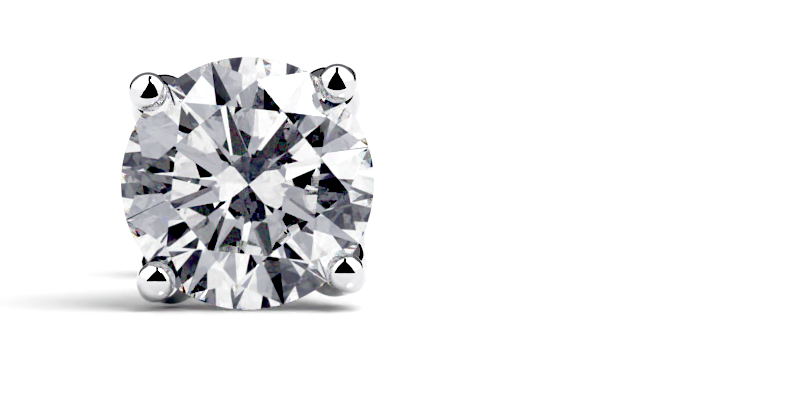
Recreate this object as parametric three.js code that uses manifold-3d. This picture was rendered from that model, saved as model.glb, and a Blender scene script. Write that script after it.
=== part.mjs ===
// A stud earring lying on its side: a round brilliant stone held by four ball-tipped prongs, in a basket
// setting soldered up with its ear post, and a butterfly clutch pushed onto the post. Millimetres, +Z up.
//
// Every piece is built on the stud's own axis, +Z running from the post's tip to the stone's table with
// z = 0 at the middle of the girdle. The stud is then laid down on the lowest point of its girdle and on
// the lower edge of its clutch, with the stone facing -Y. The origin is under the middle of its outline.
import * as THREE from "three";
import { mergeVertices } from "three/addons/utils/BufferGeometryUtils.js";
import Module from "manifold-3d";

const wasm = await Module();
wasm.setup();

const PIECE_GAP = 0.04; // between the stone and its seat, and between the clutch and the post

// ---- driving dimensions -------------------------------------------------------------------------------

// A round brilliant cut, with its proportions given the way a cutter gives them.
const STONE = {
  diameter: 6.5,
  tableShare: 0.62, // table, corner to corner, over the diameter
  crownAngle: 34.9, // bezel facets, degrees from the girdle plane
  starShare: 0.555, // star facets' reach from the table's edge to the girdle
  pavilionAngle: 41.1, // pavilion mains, degrees from the girdle plane
  lowerHalfShare: 0.8, // lower halves' reach from the girdle to the culet
  girdleThickness: 0.2,
  turn: 16.8, // azimuth of one bezel facet, degrees
  girdleSides: 96,
};

// Four round wires, each ending in a ball that laps over the stone's edge.
const PRONG = {
  count: 4,
  turn: 47.7, // azimuth of one prong, degrees
  wireRadius: 0.45,
  ballRadius: 0.505,
  ballReach: 3.44, // the ball's centre, from the stud's axis
  ballHeight: 0.42, // the ball's centre, in front of the girdle
  footReach: 1.32, // the wire's centre, where it meets the base
};

// The rail that ties the prongs together under the girdle, swelling into a round shoulder at each prong.
const RAIL = {
  outerRadius: 3.0,
  innerRadius: 2.48,
  front: -0.8,
  thickness: 0.6,
  edgeRound: 0.14,
  shoulderReach: 3.0, // the shoulder's centre, from the stud's axis
  shoulderRadius: 0.845,
};

const BASE = { radius: 1.85, thickness: 0.5, back: -4.3, edgeRound: 0.15 };
const POST = { radius: 0.43, length: 10 }; // from the back of the base to the tip

// A butterfly clutch bent from one strip: a square plate with two wings curled back to grip the post.
const CLUTCH = {
  front: -9.1, // the plate's face towards the ear
  sheet: 0.3,
  plateHalfWidth: 2.2,
  plateHalfHeight: 2.0,
  cornerRadius: 0.7,
  wingHalfHeight: 1.25,
  slotWidth: 0.14, // between a wing's root and the plate's lugs
  curlRadius: 0.95, // middle of the sheet
  curlSweep: 290, // degrees
};

// ---- helpers ------------------------------------------------------------------------------------------

const radians = THREE.MathUtils.degToRad;

/** A point at a radius and an azimuth in degrees round the stud's axis. */
function polar(radius, azimuth, z) {
  return new THREE.Vector3(radius * Math.cos(radians(azimuth)), radius * Math.sin(radians(azimuth)), z);
}

/** A closed three.js geometry as a manifold-3d solid. */
function toSolid(geometry) {
  const bare = geometry.clone();
  bare.deleteAttribute("normal");
  bare.deleteAttribute("uv");
  const merged = mergeVertices(bare, 1e-5);
  return new wasm.Manifold(
    new wasm.Mesh({
      numProp: 3,
      vertProperties: new Float32Array(merged.attributes.position.array),
      triVerts: new Uint32Array(merged.index.array),
    }),
  );
}

/** A manifold-3d solid as a named, flat-shaded three.js mesh. */
function toMesh(name, solid, material) {
  const { vertProperties, triVerts } = solid.getMesh();
  const geometry = new THREE.BufferGeometry()
    .setAttribute("position", new THREE.BufferAttribute(new Float32Array(vertProperties), 3))
    .setIndex(new THREE.BufferAttribute(new Uint32Array(triVerts), 1));
  geometry.computeVertexNormals();
  const mesh = new THREE.Mesh(geometry, material);
  mesh.name = name;
  return mesh;
}

function union(solids) {
  return solids.reduce((joined, solid) => joined.add(solid));
}

/** Turns a profile of [radius, z] points round the stud's axis, as seen from +Y with z downwards. */
function lathe(profile, sides) {
  const points = profile.map(([radius, z]) => new THREE.Vector2(radius, z));
  return toSolid(new THREE.LatheGeometry(points, sides).rotateX(Math.PI / 2));
}

/** The lathe profile of a disc whose two rims are rounded off. */
function roundedProfile(radius, back, front, round) {
  const steps = 2;
  const profile = [[0, back]];
  for (let i = 0; i <= steps; i++) {
    const angle = (i / steps) * (Math.PI / 2);
    profile.push([radius - round + round * Math.sin(angle), back + round - round * Math.cos(angle)]);
  }
  for (let i = 0; i <= steps; i++) {
    const angle = (i / steps) * (Math.PI / 2);
    profile.push([radius - round + round * Math.cos(angle), front - round + round * Math.sin(angle)]);
  }
  profile.push([0, front]);
  return profile;
}

// ---- stone --------------------------------------------------------------------------------------------

/** The facet plane through three points, facing away from the stone's middle and moved out by a clearance. */
function facetPlane(a, b, c, clearance) {
  const plane = new THREE.Plane().setFromCoplanarPoints(a, b, c);
  if (plane.constant > 0) plane.negate();
  plane.constant -= clearance;
  return plane;
}

/** The stone's facets, in the order in which a cutter grinds them. */
function brilliantFacets(clearance) {
  const radius = STONE.diameter / 2;
  const halfGirdle = STONE.girdleThickness / 2;
  const step = 360 / 16; // from a bezel facet's middle to the edge between two of them
  const crownSlope = Math.tan(radians(STONE.crownAngle));
  const pavilionSlope = Math.tan(radians(STONE.pavilionAngle));
  const cosStep = Math.cos(radians(step));

  const tableReach = radius * STONE.tableShare;
  const tableHeight = halfGirdle + (radius - tableReach) * crownSlope;
  const tableEdgeReach = tableReach * cosStep;
  const starReach = tableEdgeReach + STONE.starShare * (radius - tableEdgeReach);
  const starHeight = halfGirdle + (radius - starReach * cosStep) * crownSlope;
  const lowerReach = radius * (1 - STONE.lowerHalfShare);
  const lowerHeight = -halfGirdle - (radius - lowerReach * cosStep) * pavilionSlope;

  const facets = [new THREE.Plane(new THREE.Vector3(0, 0, 1), -(tableHeight + clearance))];
  for (let i = 0; i < 8; i++) {
    const middle = STONE.turn + 2 * i * step;
    const [left, right] = [middle - step, middle + step];
    const girdleFront = (azimuth) => polar(radius, azimuth, halfGirdle);
    const girdleBack = (azimuth) => polar(radius, azimuth, -halfGirdle);
    const tableCorner = polar(tableReach, middle, tableHeight);
    const nextCorner = polar(tableReach, middle + 2 * step, tableHeight);
    const starLeft = polar(starReach, left, starHeight);
    const starRight = polar(starReach, right, starHeight);
    const lowerLeft = polar(lowerReach, left, lowerHeight);
    const lowerRight = polar(lowerReach, right, lowerHeight);
    facets.push(
      facetPlane(girdleFront(middle), starLeft, starRight, clearance), // bezel
      facetPlane(tableCorner, nextCorner, starRight, clearance), // star
      facetPlane(starLeft, girdleFront(left), girdleFront(middle), clearance), // upper halves
      facetPlane(starRight, girdleFront(right), girdleFront(middle), clearance),
      facetPlane(girdleBack(middle), lowerLeft, lowerRight, clearance), // pavilion main
      facetPlane(lowerLeft, girdleBack(left), girdleBack(middle), clearance), // lower halves
      facetPlane(lowerRight, girdleBack(right), girdleBack(middle), clearance),
    );
  }
  return facets;
}

/** A round blank ground down to the facets. A clearance gives the same stone a little larger all over. */
function brilliant(clearance) {
  const blank = new THREE.CylinderGeometry(
    STONE.diameter / 2 + clearance,
    STONE.diameter / 2 + clearance,
    2 * STONE.diameter,
    STONE.girdleSides,
  );
  blank.rotateX(Math.PI / 2);
  // The girdle's corners are set level with the facets' corners.
  blank.rotateZ(radians(STONE.turn));
  return brilliantFacets(clearance).reduce(
    (stone, { normal, constant }) => stone.trimByPlane([-normal.x, -normal.y, -normal.z], constant),
    toSolid(blank),
  );
}

// ---- basket setting with its post ---------------------------------------------------------------------

/** One prong on azimuth 0: a bent wire from the base up past the girdle, and the ball on its end. */
function prong() {
  const path = new THREE.CatmullRomCurve3([
    new THREE.Vector3(PRONG.footReach, 0, BASE.back + 0.2),
    new THREE.Vector3(2.35, 0, -2.6),
    new THREE.Vector3(3.2, 0, -1.2),
    new THREE.Vector3(3.53, 0, -0.35),
    new THREE.Vector3(PRONG.ballReach, 0, PRONG.ballHeight),
  ]);
  const section = new THREE.Shape().absarc(0, 0, PRONG.wireRadius, 0, 2 * Math.PI);
  const wire = new THREE.ExtrudeGeometry(section, { extrudePath: path, steps: 12, curveSegments: 8 });
  const ball = new THREE.SphereGeometry(PRONG.ballRadius, 20, 14);
  ball.translate(PRONG.ballReach, 0, PRONG.ballHeight);
  return toSolid(wire).add(toSolid(ball));
}

/** A round disc with rounded edges, from the rail's back to its front. */
function railDisc(radius, sides) {
  const back = RAIL.front - RAIL.thickness;
  return lathe(roundedProfile(radius, back, RAIL.front, RAIL.edgeRound), sides);
}

/** The rail: a disc with a round shoulder at each prong, bored through for the stone. */
function rail() {
  const discs = [railDisc(RAIL.outerRadius, 64)];
  for (let i = 0; i < PRONG.count; i++) {
    const centre = polar(RAIL.shoulderReach, PRONG.turn + (i * 360) / PRONG.count, 0);
    discs.push(railDisc(RAIL.shoulderRadius, 24).translate([centre.x, centre.y, 0]));
  }
  const bore = new THREE.CylinderGeometry(RAIL.innerRadius, RAIL.innerRadius, 4 * RAIL.thickness, 64);
  bore.rotateX(Math.PI / 2).translate(0, 0, RAIL.front - RAIL.thickness / 2);
  return union(discs).subtract(toSolid(bore));
}

/** The round base that closes the basket, with a flat back that sits against the ear. */
function base() {
  return lathe(roundedProfile(BASE.radius, BASE.back, BASE.back + BASE.thickness, BASE.edgeRound), 40);
}

/** The post with its rounded tip, sunk into the base. */
function post() {
  const tip = BASE.back - POST.length;
  const tipSteps = 4;
  const profile = [];
  for (let i = 0; i <= tipSteps; i++) {
    const angle = (i / tipSteps) * (Math.PI / 2);
    profile.push([POST.radius * Math.sin(angle), tip + POST.radius * (1 - Math.cos(angle))]);
  }
  const root = BASE.back + BASE.thickness / 2;
  profile.push([POST.radius, root], [0, root]);
  return lathe(profile, 20);
}

/** Everything that is soldered together, with a seat cut for the stone. */
function setting() {
  const prongs = [];
  for (let i = 0; i < PRONG.count; i++) {
    const azimuth = PRONG.turn + (i * 360) / PRONG.count;
    prongs.push(prong().rotate([0, 0, azimuth]));
  }
  return union([...prongs, rail(), base(), post()]).subtract(brilliant(PIECE_GAP));
}

// ---- butterfly clutch ---------------------------------------------------------------------------------

/** A rounded rectangle about the origin. */
function roundedRectangle(halfWidth, halfHeight, corner) {
  const shape = new THREE.Shape();
  shape.absarc(halfWidth - corner, halfHeight - corner, corner, 0, Math.PI / 2);
  shape.absarc(corner - halfWidth, halfHeight - corner, corner, Math.PI / 2, Math.PI);
  shape.absarc(corner - halfWidth, corner - halfHeight, corner, Math.PI, 1.5 * Math.PI);
  shape.absarc(halfWidth - corner, corner - halfHeight, corner, 1.5 * Math.PI, 2 * Math.PI);
  return shape;
}

/** Where a wing starts to curl: far enough out for its end to come back beside the post. */
const curlCentre = POST.radius + PIECE_GAP + CLUTCH.sheet / 2 + CLUTCH.curlRadius;

/** One wing, towards +X: the strip leaves the plate, goes round in an arc and ends against the post. */
function wing() {
  const { sheet, curlRadius, curlSweep, wingHalfHeight } = CLUTCH;
  const centreDepth = -(sheet / 2 + curlRadius);
  const start = Math.PI / 2;
  const end = start - radians(curlSweep);
  const strip = new THREE.Shape();
  strip.absarc(curlCentre, centreDepth, curlRadius + sheet / 2, start, end, true);
  strip.absarc(curlCentre, centreDepth, curlRadius - sheet / 2, end, start, false);
  strip.lineTo(curlCentre - sheet, -sheet);
  strip.lineTo(curlCentre - sheet, 0);
  const wingGeometry = new THREE.ExtrudeGeometry(strip, {
    depth: 2 * wingHalfHeight,
    bevelEnabled: false,
    curveSegments: 20,
  });
  // The strip's drawing plane is the stud's X and Z.
  wingGeometry.translate(0, 0, -wingHalfHeight).rotateX(Math.PI / 2);
  return toSolid(wingGeometry);
}

function clutch() {
  const { sheet, plateHalfWidth, plateHalfHeight, cornerRadius, wingHalfHeight, slotWidth } = CLUTCH;
  const outline = roundedRectangle(plateHalfWidth, plateHalfHeight, cornerRadius);
  outline.holes.push(new THREE.Path().absarc(0, 0, POST.radius + PIECE_GAP, 0, 2 * Math.PI, true));
  const plate = new THREE.ExtrudeGeometry(outline, { depth: sheet, bevelEnabled: false, curveSegments: 12 });
  plate.translate(0, 0, -sheet);

  // The plate is cut away where each wing curls out of it.
  const rootClearance = 1;
  const notchWidth = plateHalfWidth - curlCentre + rootClearance;
  const notch = new THREE.BoxGeometry(notchWidth, 2 * (wingHalfHeight + slotWidth), 4 * sheet);
  notch.translate(curlCentre + notchWidth / 2, 0, 0);
  const halfTurn = [0, 0, 180];
  const notches = toSolid(notch).add(toSolid(notch).rotate(halfTurn));
  const bent = toSolid(plate).subtract(notches).add(wing()).add(wing().rotate(halfTurn));
  return bent.translate([0, 0, CLUTCH.front]);
}

// ---- materials and assembly ---------------------------------------------------------------------------

const materials = {
  stone: new THREE.MeshStandardMaterial({ color: 0xf4f6fb, roughness: 0.0, metalness: 0.0 }),
  setting: new THREE.MeshStandardMaterial({ color: 0xdedfe1, roughness: 0.05, metalness: 1.0 }),
  clutch: new THREE.MeshStandardMaterial({ color: 0xd6d7d9, roughness: 0.12, metalness: 1.0 }),
};

/** How far the front of the stud leans back when its girdle and its clutch both touch the floor. */
function restingTilt() {
  const girdle = { drop: STONE.diameter / 2, z: -STONE.girdleThickness / 2 };
  const plate = { drop: CLUTCH.plateHalfHeight, z: CLUTCH.front - CLUTCH.sheet };
  return Math.atan2(girdle.drop - plate.drop, girdle.z - plate.z);
}

const tilt = restingTilt();
const stud = new THREE.Group();
stud.add(
  toMesh("stone", brilliant(0), materials.stone),
  toMesh("basket_setting", setting(), materials.setting),
  toMesh("butterfly_clutch", clutch(), materials.clutch),
);
stud.rotation.x = Math.PI / 2 - tilt;

const earring = new THREE.Group();
earring.add(stud);
earring.updateMatrixWorld(true);
const outline = new THREE.Box3().setFromObject(earring, true);
const middle = outline.getCenter(new THREE.Vector3());
stud.position.set(-middle.x, -middle.y, -outline.min.z);

export default earring;
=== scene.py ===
"""A four-prong stud earring with a round brilliant stone, lying on a pale acrylic floor in a white tent.

Pieces are modelled in millimetres in the stud's own frame: +Z runs from the post's tip to the stone's table,
with z = 0 at the middle of the girdle. TO_ROW then lays them down where the frame's stud lies, in metres.
"""

import math

import bmesh
import bpy
from mathutils import Matrix, Vector


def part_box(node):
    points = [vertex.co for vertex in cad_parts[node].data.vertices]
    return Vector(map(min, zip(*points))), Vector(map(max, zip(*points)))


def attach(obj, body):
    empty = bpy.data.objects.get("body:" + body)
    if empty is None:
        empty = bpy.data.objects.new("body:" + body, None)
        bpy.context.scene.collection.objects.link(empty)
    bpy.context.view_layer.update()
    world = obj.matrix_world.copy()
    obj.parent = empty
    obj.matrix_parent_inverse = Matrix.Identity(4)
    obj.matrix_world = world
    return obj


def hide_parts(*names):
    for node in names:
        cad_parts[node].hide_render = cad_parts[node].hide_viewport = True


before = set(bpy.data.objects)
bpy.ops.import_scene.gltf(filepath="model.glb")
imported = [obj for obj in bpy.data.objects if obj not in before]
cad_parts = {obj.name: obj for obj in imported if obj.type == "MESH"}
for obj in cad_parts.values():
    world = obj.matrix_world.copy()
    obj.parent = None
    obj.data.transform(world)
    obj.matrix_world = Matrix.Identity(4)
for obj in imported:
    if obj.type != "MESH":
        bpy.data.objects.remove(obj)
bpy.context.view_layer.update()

MM = 0.001

# ---- the stud's dimensions, in millimetres and degrees -------------------------------------------------

STONE_RADIUS = 3.25
TABLE_SHARE = 0.62  # table, corner to corner, over the diameter
CROWN_ANGLE = 34.9
STAR_SHARE = 0.555
PAVILION_ANGLE = 41.1
LOWER_HALF_SHARE = 0.8
GIRDLE_HALF = 0.1
STONE_TURN = 16.8  # azimuth of one bezel facet
GIRDLE_SIDES = 96
SEAT_GAP = 0.04  # between the stone and the metal

PRONG_TURNS = [47.7 + 90 * i for i in range(4)]
BALL_RADIUS = 0.505
BALL_REACH = 3.44
BALL_HEIGHT = 0.42
WIRE_RADIUS = 0.43  # a little thinner than the frame's wire, which is 0.45

RAIL_OUTER, RAIL_INNER = 3.0, 2.48
RAIL_FRONT, RAIL_BACK = -0.8, -1.4
SHOULDER_REACH = 3.0
# The shoulder's outline, from back to front: radius, and height over the rail's back.
SHOULDER_OUTLINE = (
    (0, -0.12),
    (0.35, -0.1),
    (0.62, 0.02),
    (0.78, 0.16),
    (0.845, 0.34),
    (0.82, 0.5),
    (0.72, 0.72),
    (0.6, 0.95),
    (0.5, 1.15),
    (0, 1.2),
)
LEAN_START, LEAN_SLOPE = 0.4, 0.42  # where the shoulder starts to lean out with the prong, and how far

BASE_RADIUS = 1.85
BASE_BACK = -4.3
BASE_FRONT = BASE_BACK + 0.5
BASE_ROUND = 0.15
SOLDER_FILLET = 0.16
POST_RADIUS = 0.43
POST_TIP = BASE_BACK - 10

CLUTCH_FRONT = -9.1
SHEET = 0.3
PLATE_HALF_WIDTH, PLATE_HALF_HEIGHT = 2.2, 2.0
PLATE_CORNER = 0.7
WING_HALF_HEIGHT = 1.25
CURL_RADIUS = 0.95
CURL_SWEEP = 290
BORE_RADIUS = POST_RADIUS + 0.04
SLOT_WIDTH = 0.14  # between a wing's root and the plate
ROOT_LENGTH = 0.3  # of the flat stretch before a wing curls
PUNCH_DEPTH = 4 * SHEET


# ---- placing ------------------------------------------------------------------------------------------


def rad(degrees):
    return math.radians(degrees)


def polar(radius, azimuth, z):
    """A point at a radius and an azimuth in degrees round the stud's axis."""
    return Vector((radius * math.cos(rad(azimuth)), radius * math.sin(rad(azimuth)), z))


CULET_Z = -GIRDLE_HALF - STONE_RADIUS * math.tan(rad(PAVILION_ANGLE))
# The stud leans back until its girdle and the clutch's plate both touch the floor.
LEAN = math.atan2(
    STONE_RADIUS - PLATE_HALF_HEIGHT, -GIRDLE_HALF - (CLUTCH_FRONT - SHEET)
)


def stud_to_row():
    """The matrix from the stud's own frame, in millimetres, to the row frame, in metres."""
    low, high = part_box("stone")
    centre = Vector((0, high.y + CULET_Z * MM * math.cos(LEAN), (low.z + high.z) / 2))
    lean = Matrix.Rotation(math.pi / 2 - LEAN, 4, "X")
    return Matrix.Translation(centre) @ lean @ Matrix.Scale(MM, 4)


TO_ROW = stud_to_row()
STONE_CENTRE = TO_ROW @ Vector()
SHARP = math.radians(38)  # faces that meet at more than this keep a crisp edge between them


# ---- mesh helpers -------------------------------------------------------------------------------------


def finish_mesh(bm, name, material, smooth=True):
    """A bmesh in the stud's frame as an object that lies in place, with its faces turned outwards."""
    bmesh.ops.remove_doubles(bm, verts=bm.verts, dist=1e-5)
    bmesh.ops.recalc_face_normals(bm, faces=bm.faces)
    bmesh.ops.transform(bm, matrix=TO_ROW, verts=bm.verts)
    for face in bm.faces:
        face.smooth = smooth
    for edge in bm.edges:
        edge.smooth = edge.calc_face_angle(0) < SHARP
    mesh = bpy.data.meshes.new(name)
    bm.to_mesh(mesh)
    bm.free()
    mesh.materials.append(material)
    piece = bpy.data.objects.new(name, mesh)
    bpy.context.scene.collection.objects.link(piece)
    return piece


def rounded(radius, back, front, round_, steps=6):
    """The profile of a disc whose two rims are rounded off."""
    arc = [rad(90 * i / steps) for i in range(steps + 1)]
    lower = [
        (
            radius - round_ + round_ * math.sin(a),
            back + round_ - round_ * math.cos(a),
        )
        for a in arc
    ]
    upper = [
        (
            radius - round_ + round_ * math.cos(a),
            front - round_ + round_ * math.sin(a),
        )
        for a in arc
    ]
    return [(0, back)] + lower + upper + [(0, front)]


# ---- materials ----------------------------------------------------------------------------------------


def linear(hex_colour):
    """An sRGB hex colour as linear values."""
    values = [int(hex_colour[i : i + 2], 16) / 255 for i in (1, 3, 5)]
    return tuple(
        v / 12.92 if v <= 0.04045 else ((v + 0.055) / 1.055) ** 2.4 for v in values
    ) + (1.0,)


def new_material(name):
    material = bpy.data.materials.new(name)
    material.use_nodes = True
    material.node_tree.nodes.clear()
    return material.node_tree, material


def node(tree, kind, settings=None, links=None):
    """Adds a node. Settings are properties or unlinked sockets, and links are (socket, output) pairs."""
    made = tree.nodes.new(kind)
    for key, value in (settings or {}).items():
        if isinstance(key, str) and hasattr(made, key):
            setattr(made, key, value)
        else:
            made.inputs[key].default_value = value
    for socket, output in (links or {}).items():
        tree.links.new(output, made.inputs[socket])
    return made


def polished_white_gold():
    """White gold, cast, buffed and rhodium plated: a pale, crisp mirror with hairline buffing marks."""
    tree, material = new_material("polished_white_gold")
    place = node(tree, "ShaderNodeTexCoord")
    # Buffing leaves hairlines about 0.02 mm apart, drawn out along the last strokes.
    strokes = node(
        tree,
        "ShaderNodeMapping",
        {"Scale": (9000, 2500, 50000)},
        {"Vector": place.outputs["Object"]},
    )
    hairlines = node(
        tree,
        "ShaderNodeTexNoise",
        {"Scale": 1.0, "Detail": 3.0, "Roughness": 0.6},
        {"Vector": strokes.outputs["Vector"]},
    )
    # The buff leaves soft waves about 0.5 mm across.
    waves = node(
        tree,
        "ShaderNodeTexNoise",
        {"Scale": 2000.0, "Detail": 1.0},
        {"Vector": place.outputs["Object"]},
    )
    sheen = node(
        tree,
        "ShaderNodeMapRange",
        {"From Min": 0.35, "From Max": 0.75, "To Min": 0.015, "To Max": 0.06},
        {"Value": hairlines.outputs["Fac"]},
    )
    bump = node(
        tree,
        "ShaderNodeBump",
        {"Strength": 0.02, "Distance": 0.00002},
        {"Height": waves.outputs["Fac"]},
    )
    surface = node(
        tree,
        "ShaderNodeBsdfPrincipled",
        {"Base Color": linear("#E4E4E6"), "Metallic": 1.0},
        {"Roughness": sheen.outputs["Result"], "Normal": bump.outputs["Normal"]},
    )
    node(
        tree, "ShaderNodeOutputMaterial", links={"Surface": surface.outputs["BSDF"]}
    )
    return material


def rolled_white_gold():
    """White gold strip, rolled and barrel polished: a little greyer and softer than the setting."""
    tree, material = new_material("rolled_white_gold")
    place = node(tree, "ShaderNodeTexCoord")
    # Rolling marks run across the strip, about 0.05 mm apart.
    across = node(
        tree,
        "ShaderNodeMapping",
        {"Scale": (20000, 1500, 1500)},
        {"Vector": place.outputs["Object"]},
    )
    marks = node(
        tree,
        "ShaderNodeTexNoise",
        {"Scale": 1.0, "Detail": 4.0, "Roughness": 0.55},
        {"Vector": across.outputs["Vector"]},
    )
    sheen = node(
        tree,
        "ShaderNodeMapRange",
        {"From Min": 0.3, "From Max": 0.7, "To Min": 0.08, "To Max": 0.2},
        {"Value": marks.outputs["Fac"]},
    )
    bump = node(
        tree,
        "ShaderNodeBump",
        {"Strength": 0.12, "Distance": 0.00001},
        {"Height": marks.outputs["Fac"]},
    )
    surface = node(
        tree,
        "ShaderNodeBsdfPrincipled",
        {"Base Color": linear("#DCDCDE"), "Metallic": 1.0},
        {"Roughness": sheen.outputs["Result"], "Normal": bump.outputs["Normal"]},
    )
    node(
        tree, "ShaderNodeOutputMaterial", links={"Surface": surface.outputs["BSDF"]}
    )
    return material


def cut_brilliant():
    """A colourless cut stone with polished facets. White light splits into colours as it goes in."""
    tree, material = new_material("colourless_brilliant")
    side = node(tree, "ShaderNodeNewGeometry")
    inside = node(
        tree,
        "ShaderNodeBsdfGlass",
        {"Color": linear("#FFFFFF"), "Roughness": 0.0, "IOR": 2.42},
    )
    # Bare facets let 83 % of the light in. Three quarters of that stays white and a quarter spreads into
    # colours, which gives soft fire.
    split = None
    for colour, ior in (
        ("#CFCFCF", 2.42),
        ("#7E0000", 2.4),
        ("#007E00", 2.42),
        ("#00007E", 2.45),
    ):
        share = node(
            tree,
            "ShaderNodeBsdfRefraction",
            {"Color": linear(colour), "Roughness": 0.0, "IOR": ior},
        )
        if split is None:
            split = share.outputs[0]
        else:
            split = node(
                tree, "ShaderNodeAddShader", links={0: split, 1: share.outputs[0]}
            ).outputs[0]
    # Bare facets also mirror 17 %. Only 5 % is kept here, so that the pattern inside isn't washed out.
    glint = node(
        tree, "ShaderNodeBsdfGlossy", {"Color": linear("#FFFFFF"), "Roughness": 0.0}
    )
    outside = node(
        tree,
        "ShaderNodeMixShader",
        {0: 0.05},
        {1: split, 2: glint.outputs["BSDF"]},
    )
    facet = node(
        tree,
        "ShaderNodeMixShader",
        links={
            0: side.outputs["Backfacing"],
            1: outside.outputs["Shader"],
            2: inside.outputs["BSDF"],
        },
    )
    node(
        tree, "ShaderNodeOutputMaterial", links={"Surface": facet.outputs["Shader"]}
    )
    return material


def pale_acrylic():
    """Pale grey cast acrylic sheet: an even body that bright light turns white, under a faint gloss."""
    tree, material = new_material("pale_acrylic")
    body = node(tree, "ShaderNodeBsdfDiffuse", {"Color": linear("#BCBCBC")})
    gloss = node(
        tree,
        "ShaderNodeBsdfGlossy",
        {"Color": linear("#FFFFFF"), "Roughness": 0.03},
    )
    sheet = node(
        tree,
        "ShaderNodeMixShader",
        {0: 0.06},
        {1: body.outputs["BSDF"], 2: gloss.outputs["BSDF"]},
    )
    node(
        tree, "ShaderNodeOutputMaterial", links={"Surface": sheet.outputs["Shader"]}
    )
    return material


def lit_paper(name, colour, strength):
    """Matt paper lit from behind, at one even level."""
    tree, material = new_material(name)
    glow = node(
        tree, "ShaderNodeEmission", {"Color": linear(colour), "Strength": strength}
    )
    node(
        tree, "ShaderNodeOutputMaterial", links={"Surface": glow.outputs["Emission"]}
    )
    return material


# ---- stone --------------------------------------------------------------------------------------------


def brilliant_facets(clearance=0.0):
    """(point, outward normal) of each facet's plane, moved outwards by a clearance."""
    step = 22.5  # from a bezel facet's middle to the edge between two of them
    crown, pavilion = math.tan(rad(CROWN_ANGLE)), math.tan(rad(PAVILION_ANGLE))
    table_reach = STONE_RADIUS * TABLE_SHARE
    table_z = GIRDLE_HALF + (STONE_RADIUS - table_reach) * crown
    table_edge = table_reach * math.cos(rad(step))
    star_reach = table_edge + STAR_SHARE * (STONE_RADIUS - table_edge)
    star_z = GIRDLE_HALF + (STONE_RADIUS - star_reach * math.cos(rad(step))) * crown
    lower_reach = STONE_RADIUS * (1 - LOWER_HALF_SHARE)
    lower_z = (
        -GIRDLE_HALF - (STONE_RADIUS - lower_reach * math.cos(rad(step))) * pavilion
    )

    def plane(a, b, c):
        normal = (b - a).cross(c - a).normalized()
        if normal.dot(a) < 0:
            normal.negate()
        return a + normal * clearance, normal

    facets = [(Vector((0, 0, table_z + clearance)), Vector((0, 0, 1)))]
    for i in range(8):
        middle = STONE_TURN + 2 * i * step
        front = [polar(STONE_RADIUS, middle + k * step, GIRDLE_HALF) for k in (-1, 0, 1)]
        back = [polar(STONE_RADIUS, middle + k * step, -GIRDLE_HALF) for k in (-1, 0, 1)]
        corners = [polar(table_reach, middle + k * step, table_z) for k in (0, 2)]
        stars = [polar(star_reach, middle + k * step, star_z) for k in (-1, 1)]
        lowers = [polar(lower_reach, middle + k * step, lower_z) for k in (-1, 1)]
        facets += [
            plane(front[1], stars[0], stars[1]),  # bezel
            plane(corners[0], corners[1], stars[1]),  # star
            plane(stars[0], front[0], front[1]),  # upper halves
            plane(stars[1], front[2], front[1]),
            plane(back[1], lowers[0], lowers[1]),  # pavilion main
            plane(lowers[0], back[0], back[1]),  # lower halves
            plane(lowers[1], back[2], back[1]),
        ]
    return facets


def grind(bm, facets):
    """Grinds a blank down to each plane in turn, and closes each cut with one flat facet."""
    for point, normal in facets:
        bmesh.ops.bisect_plane(
            bm,
            geom=bm.verts[:] + bm.edges[:] + bm.faces[:],
            dist=2e-5,
            plane_co=point,
            plane_no=normal,
            clear_outer=True,
        )
        bmesh.ops.holes_fill(bm, edges=bm.edges[:], sides=0)


def brilliant_blank(clearance=0.0):
    """A round blank ground to the stone's facets."""
    bm = bmesh.new()
    bmesh.ops.create_cone(
        bm,
        cap_ends=True,
        segments=GIRDLE_SIDES,
        radius1=STONE_RADIUS + clearance,
        radius2=STONE_RADIUS + clearance,
        depth=4 * STONE_RADIUS,
        matrix=Matrix.Rotation(rad(STONE_TURN), 4, "Z"),
    )
    grind(bm, brilliant_facets(clearance))
    return bm


# ---- setting ------------------------------------------------------------------------------------------


def edges_within(ring):
    """The edges that join the verts of one ring, in a fixed order."""
    found = (
        edge
        for vert in ring
        for edge in vert.link_edges
        if edge.other_vert(vert) in ring
    )
    return list(dict.fromkeys(found))


def tube(bm, stations, sides):
    """A closed round tube through stations of (centre, direction, radius), with a cap at each end."""
    rings = []
    for centre, direction, radius in stations:
        turn = direction.to_track_quat("Z", "Y").to_matrix().to_4x4()
        ring = bmesh.ops.create_circle(
            bm,
            segments=sides,
            radius=radius,
            matrix=Matrix.Translation(centre) @ turn,
        )
        rings.append(list(ring["verts"]))
    for lower, upper in zip(rings, rings[1:]):
        bmesh.ops.bridge_loops(bm, edges=edges_within(lower) + edges_within(upper))
    for ring in (rings[0], rings[-1]):
        bmesh.ops.edgeloop_fill(bm, edges=edges_within(ring))


def bend(points, steps):
    """A smooth curve through points, as (point, direction) pairs."""
    spline = bpy.data.curves.new("path", "CURVE")
    spline.dimensions = "3D"
    line = spline.splines.new("NURBS")
    line.points.add(len(points) - 1)
    for target, point in zip(line.points, points):
        target.co = (*point, 1)
    line.use_endpoint_u = True
    line.order_u = 4
    line.resolution_u = steps
    holder = bpy.data.objects.new("path", spline)
    mesh = holder.to_mesh()
    path = [v.co.copy() for v in mesh.vertices]
    holder.to_mesh_clear()
    bpy.data.objects.remove(holder)
    bpy.data.curves.remove(spline)
    ends = [path[0]] + path + [path[-1]]
    return [
        (point, (after - before).normalized())
        for before, point, after in zip(ends, path, ends[2:])
    ]


def turn_fresh(bm, start, azimuth):
    """Turns the verts made since a count round the stud's axis."""
    bm.verts.ensure_lookup_table()
    turn = Matrix.Rotation(rad(azimuth), 3, "Z")
    bmesh.ops.rotate(bm, cent=(0, 0, 0), matrix=turn, verts=bm.verts[start:])


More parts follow.
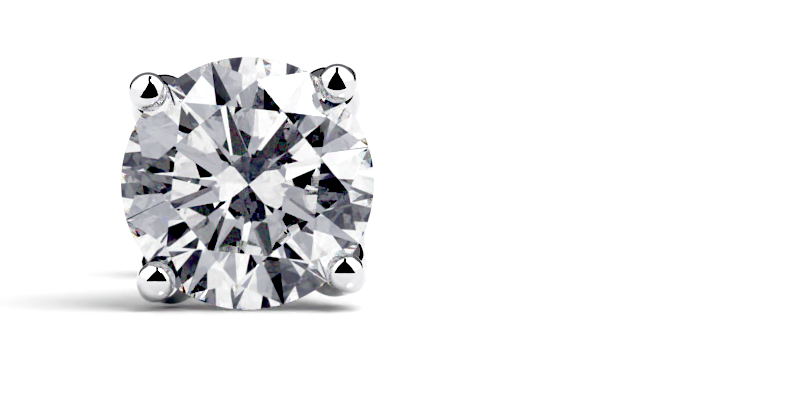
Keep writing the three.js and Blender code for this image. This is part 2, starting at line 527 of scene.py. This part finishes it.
def prong(bm, azimuth):
    """A round wire that leans out from the base and ends in a ball over the stone's edge."""
    ball = Vector((BALL_REACH, 0, BALL_HEIGHT))
    path = bend(
        [
            Vector((1.32, 0, BASE_BACK + 0.25)),
            Vector((1.95, 0, -3.2)),
            Vector((2.6, 0, -2.1)),
            Vector((3.1, 0, -1.35)),
            Vector((3.45, 0, -0.75)),
            Vector((3.62, 0, -0.2)),
            ball + Vector((0.03, 0, -0.25)),
            ball,
        ],
        8,
    )
    # The wire stops just inside the ball, and the ball's own rings carry on from there to its tip.
    wire_stop = BALL_HEIGHT - 0.3
    ball_start = -0.22
    ball_rings = 24
    tip_radius = 0.002
    stations = [
        (point, direction, WIRE_RADIUS)
        for point, direction in path
        if point.z < wire_stop
    ]
    up = Vector((0, 0, 1))
    for i in range(1, ball_rings + 1):
        angle = rad(180 - 180 * i / ball_rings)
        offset = BALL_RADIUS * math.cos(angle)
        if offset > ball_start:
            radius = max(BALL_RADIUS * math.sin(angle), tip_radius)
            stations.append((ball + up * offset, up, radius))
    start = len(bm.verts)
    tube(bm, stations, 48)
    turn_fresh(bm, start, azimuth)


def shoulder(bm, azimuth):
    """The round swelling of the rail that a prong passes through, flared towards the girdle."""
    start = len(bm.verts)
    lathe(bm, [(radius, RAIL_BACK + height) for radius, height in SHOULDER_OUTLINE], 48)
    bm.verts.ensure_lookup_table()
    for vert in bm.verts[start:]:
        lean = LEAN_SLOPE * max(0.0, vert.co.z - RAIL_BACK - LEAN_START)
        vert.co.x += SHOULDER_REACH + lean
    turn_fresh(bm, start, azimuth)


def lathe(bm, profile, steps):
    """Turns a profile of (radius, z) points round the stud's axis."""
    verts = [bm.verts.new((radius, 0, z)) for radius, z in profile]
    edges = [bm.edges.new(pair) for pair in zip(verts, verts[1:])]
    bmesh.ops.spin(
        bm,
        geom=verts + edges,
        axis=(0, 0, 1),
        cent=(0, 0, 0),
        angle=2 * math.pi,
        steps=steps,
        use_merge=True,
    )


def rail(bm):
    """The ring that ties the prongs together, with a rounded section."""
    sides = 24
    middle_radius = (RAIL_OUTER + RAIL_INNER) / 2
    middle_z = (RAIL_FRONT + RAIL_BACK) / 2
    profile = []
    for i in range(sides):
        angle = rad(360 * i / sides)
        radius = middle_radius + (RAIL_OUTER - RAIL_INNER) / 2 * math.cos(angle)
        z = middle_z + (RAIL_FRONT - RAIL_BACK) / 2 * math.sin(angle)
        profile.append((radius, z))
    profile.append(profile[0])
    lathe(bm, profile, 128)


def base_and_post(bm):
    """The dished base with the post standing on its flat back, in a small fillet of solder."""
    tip_steps, fillet_steps = 8, 6
    profile = [(0, POST_TIP)]
    for i in range(1, tip_steps + 1):
        angle = rad(90 * i / tip_steps)
        z = POST_TIP + POST_RADIUS * (1 - math.cos(angle))
        profile.append((POST_RADIUS * math.sin(angle), z))
    for i in range(fillet_steps + 1):
        angle = rad(90 * i / fillet_steps)
        radius = POST_RADIUS + SOLDER_FILLET * (1 - math.cos(angle))
        z = BASE_BACK - SOLDER_FILLET + SOLDER_FILLET * math.sin(angle)
        profile.append((radius, z))
    profile += rounded(BASE_RADIUS, BASE_BACK, BASE_FRONT, BASE_ROUND)[1:-1]
    # The front of the base is dished by a tenth of a millimetre.
    profile += [(1.2, BASE_FRONT), (0.8, BASE_FRONT - 0.05), (0, BASE_FRONT - 0.1)]
    lathe(bm, profile, 96)


def closed_copy(bm, name):
    """A throwaway object for a boolean cut, in the stud's frame."""
    mesh = bpy.data.meshes.new(name)
    bm.to_mesh(mesh)
    bm.free()
    blank = bpy.data.objects.new(name, mesh)
    bpy.context.scene.collection.objects.link(blank)
    return blank


def cut_away(work, tool):
    """The bmesh of one object with another cut out of it. Both objects are removed."""
    cut = work.modifiers.new("seat", "BOOLEAN")
    cut.operation = "DIFFERENCE"
    cut.solver = "EXACT"
    cut.use_self = True
    cut.object = tool
    graph = bpy.context.evaluated_depsgraph_get()
    bm = bmesh.new()
    bm.from_object(work, graph)
    bpy.data.objects.remove(work)
    bpy.data.objects.remove(tool)
    return bm


def basket_setting():
    """All the cast metal in one, with the stone's seat cut into it."""
    bm = bmesh.new()
    for azimuth in PRONG_TURNS:
        prong(bm, azimuth)
        shoulder(bm, azimuth)
    rail(bm)
    base_and_post(bm)
    bmesh.ops.remove_doubles(bm, verts=bm.verts, dist=1e-6)
    bmesh.ops.recalc_face_normals(bm, faces=bm.faces)
    return cut_away(
        closed_copy(bm, "cast_metal"), closed_copy(brilliant_blank(SEAT_GAP), "burr")
    )


# ---- clutch -------------------------------------------------------------------------------------------


def butterfly_clutch():
    """A round-cornered plate with a hole, and two wings that curl back beside the post."""
    centre_x = BORE_RADIUS + SHEET / 2 + CURL_RADIUS
    middle = CLUTCH_FRONT - SHEET / 2
    bm = bmesh.new()
    bmesh.ops.create_cube(
        bm,
        size=1,
        matrix=Matrix.Translation((0, 0, middle))
        @ Matrix.Diagonal((2 * PLATE_HALF_WIDTH, 2 * PLATE_HALF_HEIGHT, SHEET, 1)),
    )
    corners = [
        edge
        for edge in bm.edges
        if abs(edge.verts[0].co.z - edge.verts[1].co.z) > SHEET / 2
    ]
    bmesh.ops.bevel(
        bm,
        geom=corners,
        offset=PLATE_CORNER,
        segments=10,
        affect="EDGES",
        profile=0.5,
        material=-1,
    )
    # The punch takes out the bore and, on each side, the part of the plate that a wing curls out of.
    notch_half = 1
    notch = bmesh.new()
    for side in (-1, 1):
        bmesh.ops.create_cube(
            notch,
            size=1,
            matrix=Matrix.Translation((side * (centre_x + notch_half), 0, middle))
            @ Matrix.Diagonal(
                (2 * notch_half, 2 * (WING_HALF_HEIGHT + SLOT_WIDTH), PUNCH_DEPTH, 1)
            ),
        )
    bmesh.ops.create_cone(
        notch,
        cap_ends=True,
        segments=48,
        radius1=BORE_RADIUS,
        radius2=BORE_RADIUS,
        depth=PUNCH_DEPTH,
        matrix=Matrix.Translation((0, 0, middle)),
    )
    bm = cut_away(closed_copy(bm, "plate_blank"), closed_copy(notch, "punch"))
    for side in (-1, 1):
        strip = [
            bm.verts.new((side * (centre_x - ROOT_LENGTH), y, z))
            for y, z in (
                (-WING_HALF_HEIGHT, CLUTCH_FRONT),
                (WING_HALF_HEIGHT, CLUTCH_FRONT),
                (WING_HALF_HEIGHT, CLUTCH_FRONT - SHEET),
                (-WING_HALF_HEIGHT, CLUTCH_FRONT - SHEET),
            )
        ]
        end = bm.faces.new(strip)
        root = bmesh.ops.extrude_face_region(bm, geom=[end])["geom"]
        bmesh.ops.translate(
            bm,
            vec=(side * ROOT_LENGTH, 0, 0),
            verts=[item for item in root if isinstance(item, bmesh.types.BMVert)],
        )
        face = [item for item in root if isinstance(item, bmesh.types.BMFace)]
        bmesh.ops.spin(
            bm,
            geom=face,
            cent=(side * centre_x, 0, middle - CURL_RADIUS),
            axis=(0, side, 0),
            angle=rad(CURL_SWEEP),
            steps=40,
        )
        # The face that the curl started from is inside the metal now.
        bmesh.ops.delete(bm, geom=face, context="FACES_ONLY")
    bmesh.ops.holes_fill(bm, edges=bm.edges[:], sides=0)
    return bm


# ---- the stud -----------------------------------------------------------------------------------------

white_gold = polished_white_gold()
clutch_gold = rolled_white_gold()

stone = finish_mesh(
    brilliant_blank(), "brilliant_stone", cut_brilliant(), smooth=False
)
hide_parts("stone")
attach(stone, "root")

setting = finish_mesh(basket_setting(), "ball_prong_setting", white_gold)
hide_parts("basket_setting")
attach(setting, "root")

clutch = finish_mesh(butterfly_clutch(), "curled_clutch", clutch_gold)
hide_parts("butterfly_clutch")
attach(clutch, "root")

# Punching and barrel polishing leave the strip's edges rounded by about a tenth of its thickness.
worn = clutch.modifiers.new("worn_edges", "BEVEL")
worn.width = 0.035 * MM
worn.segments = 3
worn.limit_method = "ANGLE"
worn.angle_limit = SHARP

for piece in (setting, clutch):
    modifier = piece.modifiers.new("soft_edges", "WEIGHTED_NORMAL")
    modifier.keep_sharp = True

# ---- stage and light ----------------------------------------------------------------------------------
# An even white sky of paper stands round the stud. Some cards show only in mirrored light: in the metal,
# in the glint of the stone's facets and in the floor's gloss. The others show only through the stone. The
# camera and the floor's matt body see none of them.

METAL_SEES, STONE_SEES = ("visible_glossy",), ("visible_transmission",)
RAY_KINDS = (
    "visible_camera",
    "visible_diffuse",
    "visible_glossy",
    "visible_transmission",
    "visible_volume_scatter",
    "visible_shadow",
)


def stage_mesh(name, bm, material, seen_by=RAY_KINDS):
    mesh = bpy.data.meshes.new(name)
    bm.to_mesh(mesh)
    bm.free()
    mesh.materials.append(material)
    made = bpy.data.objects.new(name, mesh)
    bpy.context.scene.collection.objects.link(made)
    for kind in RAY_KINDS:
        setattr(made, kind, kind in seen_by)
    return made


def towards(swing, rise):
    """The direction that is so many degrees to the right of straight in front, and above the level."""
    level = math.cos(rad(rise))
    return Vector(
        (math.sin(rad(swing)) * level, -math.cos(rad(swing)) * level, math.sin(rad(rise)))
    )


def card(name, swings, rises, distance, colour, strength, seen_by):
    """A curved card round the stone that covers a span of swings and rises, in degrees."""
    columns, rows_between = 12, 11
    bm = bmesh.new()
    width = swings[1] - swings[0]
    edges = []
    for rise in rises:
        row = []
        for i in range(columns + 1):
            direction = towards(swings[0] + width * i / columns, rise)
            row.append(bm.verts.new(STONE_CENTRE + direction * distance * MM))
        edges += [bm.edges.new(pair) for pair in zip(row, row[1:])]
    bmesh.ops.bridge_loops(bm, edges=edges)
    bmesh.ops.subdivide_edges(
        bm,
        edges=[edge for edge in bm.edges if edge not in edges],
        cuts=rows_between,
        use_grid_fill=True,
    )
    for vert in bm.verts:
        offset = vert.co - STONE_CENTRE
        vert.co = STONE_CENTRE + offset.normalized() * distance * MM
    return stage_mesh(name, bm, lit_paper(name + "_paper", colour, strength), seen_by)


FLOOR_HALF_WIDTH = 1.5  # metres
floor_sheet = bmesh.new()
bmesh.ops.create_grid(floor_sheet, x_segments=1, y_segments=1, size=FLOOR_HALF_WIDTH)
stage_mesh(
    "floor",
    floor_sheet,
    pale_acrylic(),
    [kind for kind in RAY_KINDS if kind not in STONE_SEES],
)

# What the stone gathers: a plain tent, alike to the left and the right, with a front opening in its middle.
# One window stands on the right.
# Columns: name, half width in degrees of swing, rises, strength, colour. The farthest card comes first.
STONE_CARDS = (
    ("front_wall", 25, (-60, 75), 0.75, "#E9EBF4"),
    ("shaded_table", 35, (-70, -10), 0.25, "#DFE2F5"),
    ("dark_ceiling", 30, (40, 75), 0.15, "#D8D8F5"),
    ("front_opening", 6, (-45, 30), 0.03, "#A4ACFF"),
)
WINDOW_SWINGS, WINDOW_RISES = (10, 65), (10, 35)
WINDOW_DISTANCE = 80
FARTHEST_CARD, CARD_STEP = 90, 2  # millimetres from the stone
for step, (name, half_width, rises, strength, colour) in enumerate(STONE_CARDS):
    swings = (-half_width, half_width)
    distance = FARTHEST_CARD - CARD_STEP * step
    card(name, swings, rises, distance, colour, strength, STONE_SEES)
card("window", WINDOW_SWINGS, WINDOW_RISES, WINDOW_DISTANCE, "#FFFFFF", 1.3, STONE_SEES)

# The black gap between the tent's two halves, which every ball mirrors: wide at the foot, a slit overhead.
GAP_AHEAD, GAP_ASIDE, GAP_TOP = 6.5, 1.35, 36  # in front of the stone, to its right, over the floor
gap = bmesh.new()
left_side = [
    (-11.6, 1.1),
    (-8, 3.9),
    (-5.6, 7.7),
    (-4, 11),
    (-2.8, 16),
    (-2.5, 25),
    (-2.9, GAP_TOP),
]
outline = left_side + [(-x, z) for x, z in reversed(left_side)]
overhead = [(-2.9, -GAP_AHEAD), (2.9, -GAP_AHEAD), (2.9, 13), (-2.9, 13)]
below_stone = STONE_CENTRE * Vector((1, 1, 0))
for corners in (
    [(x, -GAP_AHEAD, z) for x, z in outline],
    [(x, y, GAP_TOP) for x, y in overhead],
):
    gap.faces.new(
        [
            gap.verts.new(below_stone + Vector((x + GAP_ASIDE, y, z)) * MM)
            for x, y, z in corners
        ]
    )
stage_mesh("tent_gap", gap, lit_paper("tent_gap_paper", "#000000", 0.0), METAL_SEES)

# The dark room behind the stud, with a dim wall above it, draws a thin line round the tops of the balls.
BACK_BEHIND, BACK_HALF_WIDTH = 28, 40
for name, low, high, strength in (("back_room", 8, 15, 0.0), ("back_wall", 15, 44, 0.34)):
    back = bmesh.new()
    back.faces.new(
        [
            back.verts.new((x * MM, STONE_CENTRE.y + BACK_BEHIND * MM, z * MM))
            for x, z in (
                (-BACK_HALF_WIDTH, low),
                (BACK_HALF_WIDTH, low),
                (BACK_HALF_WIDTH, high),
                (-BACK_HALF_WIDTH, high),
            )
        ]
    )
    stage_mesh(name, back, lit_paper(name + "_paper", "#F0F0F4", strength), METAL_SEES)

# A white sheet overhead, brighter than the walls: metal turns white above and stays light grey below.
card("overhead_sheet", (-180, 180), (14, 89.9), 120, "#FFFFFF", 1.5, METAL_SEES)

# The main light, which the bezel facet at 61.8 degrees throws straight back to the camera.
card("main_light", (42, 84), (54, 76), 70, "#FFFFFF", 16.0, METAL_SEES)

# A broad soft key from above and from the right shades the floor under the stud and to its left.
key_light = bpy.data.lights.new("soft_key", "SUN")
key_light.energy = 1.3 * math.pi
key_light.angle = rad(55)
key = bpy.data.objects.new("soft_key", key_light)
bpy.context.scene.collection.objects.link(key)
key.rotation_euler = (-towards(72, 58)).to_track_quat("-Z", "Y").to_euler()
key.visible_glossy = key.visible_transmission = False

world = bpy.data.worlds.new("studio")
bpy.context.scene.world = world
world.use_nodes = True
sky = world.node_tree.nodes["Background"]
sky.inputs["Color"].default_value = linear("#FFFFFF")
sky.inputs["Strength"].default_value = 1.13

# ---- camera -------------------------------------------------------------------------------------------

CAMERA_DISTANCE = 0.25
CAMERA_RISE = LEAN - rad(3.5)  # above the level, a little below the stone's axis
CAMERA_SWING = rad(2.7)  # to the right of the stone's axis
FRAME_WIDTH = 20.54 * MM  # at the stone
STONE_LEFT, STONE_UP = 3.915 * MM, 0.665 * MM  # of the middle of the view
SENSOR_WIDTH = 36
camera_data = bpy.data.cameras.new("camera")
camera = bpy.data.objects.new("camera", camera_data)
bpy.context.scene.collection.objects.link(camera)
bpy.context.scene.camera = camera
camera_data.sensor_width = SENSOR_WIDTH
camera_data.lens = SENSOR_WIDTH * CAMERA_DISTANCE / FRAME_WIDTH
camera_data.clip_start = 0.01
camera_data.clip_end = 10
camera_side = towards(math.degrees(CAMERA_SWING), math.degrees(CAMERA_RISE))
camera.location = STONE_CENTRE + camera_side * CAMERA_DISTANCE
facing = (-camera_side).to_track_quat("-Z", "Y")
right, up = facing @ Vector((1, 0, 0)), facing @ Vector((0, 1, 0))
aim = STONE_CENTRE + right * STONE_LEFT - up * STONE_UP
camera.rotation_euler = (aim - camera.location).to_track_quat("-Z", "Y").to_euler()

scene = bpy.context.scene
scene.view_settings.view_transform = "Standard"
# A raised black point deepens the darks.
BLACK_POINT = 0.13
scene.view_settings.use_curve_mapping = True
scene.view_settings.curve_mapping.black_level = (BLACK_POINT,) * 3
scene.view_settings.curve_mapping.update()
# Light goes back and forth many times between the facets before it leaves the stone.
scene.cycles.max_bounces = 40
scene.cycles.transmission_bounces = 40
scene.cycles.glossy_bounces = 16
scene.cycles.diffuse_bounces = 4
scene.cycles.blur_glossy = 0.0
